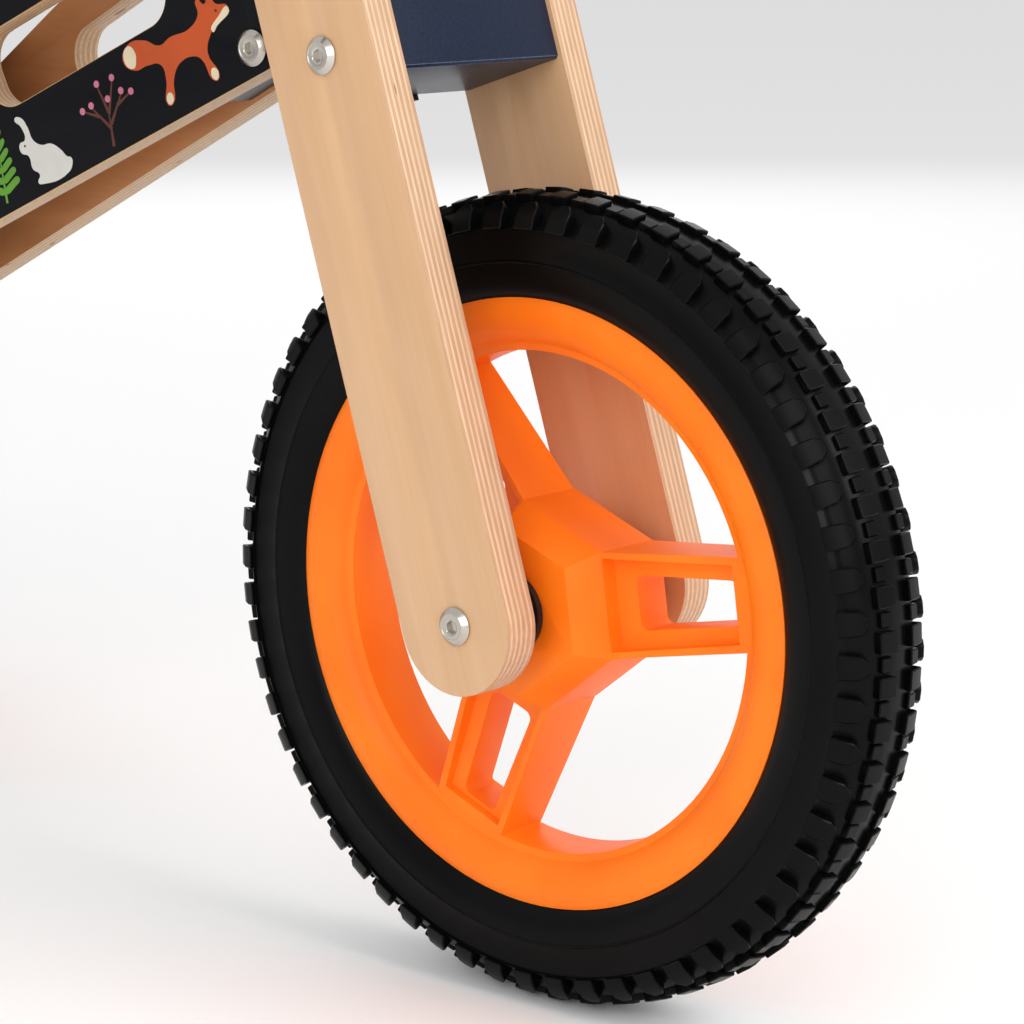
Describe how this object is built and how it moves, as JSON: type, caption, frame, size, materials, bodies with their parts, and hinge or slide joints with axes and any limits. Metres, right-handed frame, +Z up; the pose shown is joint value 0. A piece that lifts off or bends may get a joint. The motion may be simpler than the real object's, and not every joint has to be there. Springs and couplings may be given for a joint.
{
  "type": "balance bike",
  "caption": "Child's plywood balance bike: V-shaped printed frame, pin-steered plywood fork, moulded spoked wheels with foam tyres, sliding padded seat and gripped handlebar.",
  "frame": {"origin": "on the ground, midway between the axles, on the middle plane; bottom centre of the box", "axes": "+X forward, +Y to the rider's left, +Z up"},
  "size_m": [0.839, 0.36, 0.5447],
  "materials": {
    "plywood": "clear satin lacquer over birch plywood",
    "printed_plywood": "printed film under clear satin lacquer on birch plywood",
    "navy_wood": "semi-gloss painted hardwood",
    "orange_plastic": "satin moulded",
    "foam_tyre": "satin moulded foam",
    "nickel_steel": "nickel plated",
    "black_steel": "semi-gloss powder coat",
    "black_plastic": "moulded",
    "bronze": "plain sintered",
    "bearing_steel": "ground",
    "grip_rubber": "matte ribbed",
    "seat_cover": "soft synthetic leather, satin"
  },
  "bodies": {
    "frame": {"frame_panel_left": "printed_plywood", "frame_panel_right": "printed_plywood", "head_fitting": "black_steel", "head_bolts": "nickel_steel", "steering_bushes": "bronze", "clamp_bolts": "nickel_steel", "clamp_nuts": "nickel_steel", "rear_axle": "bearing_steel", "rear_axle_bolts": "nickel_steel", "rear_bearing_caps": "black_plastic", "rear_bearing_inner_rings": "bearing_steel"},
    "fork": {"fork_blade_left": "plywood", "fork_blade_right": "plywood", "crown_block": "navy_wood", "crown_bolts": "nickel_steel", "steering_bracket": "black_steel", "bracket_screws": "nickel_steel", "steering_pin": "nickel_steel", "steering_nut": "nickel_steel", "thrust_washers": "nickel_steel", "bar_block": "navy_wood", "bar_block_bolts": "nickel_steel", "bar_lock_screw": "nickel_steel", "handlebar": "black_steel", "grip_left": "grip_rubber", "grip_right": "grip_rubber", "front_axle": "bearing_steel", "front_axle_bolts": "nickel_steel", "front_bearing_caps": "black_plastic", "front_bearing_inner_rings": "bearing_steel"},
    "front_wheel": {"front_rim": "orange_plastic", "front_tyre": "foam_tyre", "front_bearing_outer_rings": "bearing_steel"},
    "rear_wheel": {"rear_rim": "orange_plastic", "rear_tyre": "foam_tyre", "rear_bearing_outer_rings": "bearing_steel"},
    "seat": {"seat_post": "navy_wood", "seat_base": "plywood", "seat_cushion": "seat_cover", "seat_screws": "nickel_steel"}
  },
  "joints": [
    {"name": "steering", "type": "hinge", "parent": "frame", "child": "fork", "pos_m": [0.14669, 0, 0.39082], "axis": [-0.2985, 0, 0.9544], "range_deg": [-42, 42]},
    {"name": "front_wheel_spin", "type": "hinge", "parent": "fork", "child": "front_wheel", "pos_m": [0.2675, 0, 0.152], "axis": [0, 1, 0], "continuous": true},
    {"name": "rear_wheel_spin", "type": "hinge", "parent": "frame", "child": "rear_wheel", "pos_m": [-0.2675, 0, 0.152], "axis": [0, 1, 0], "continuous": true},
    {"name": "seat_height", "type": "slide", "parent": "frame", "child": "seat", "axis": [0, 0, 1], "range_m": [0, 0.04]}
  ]
}
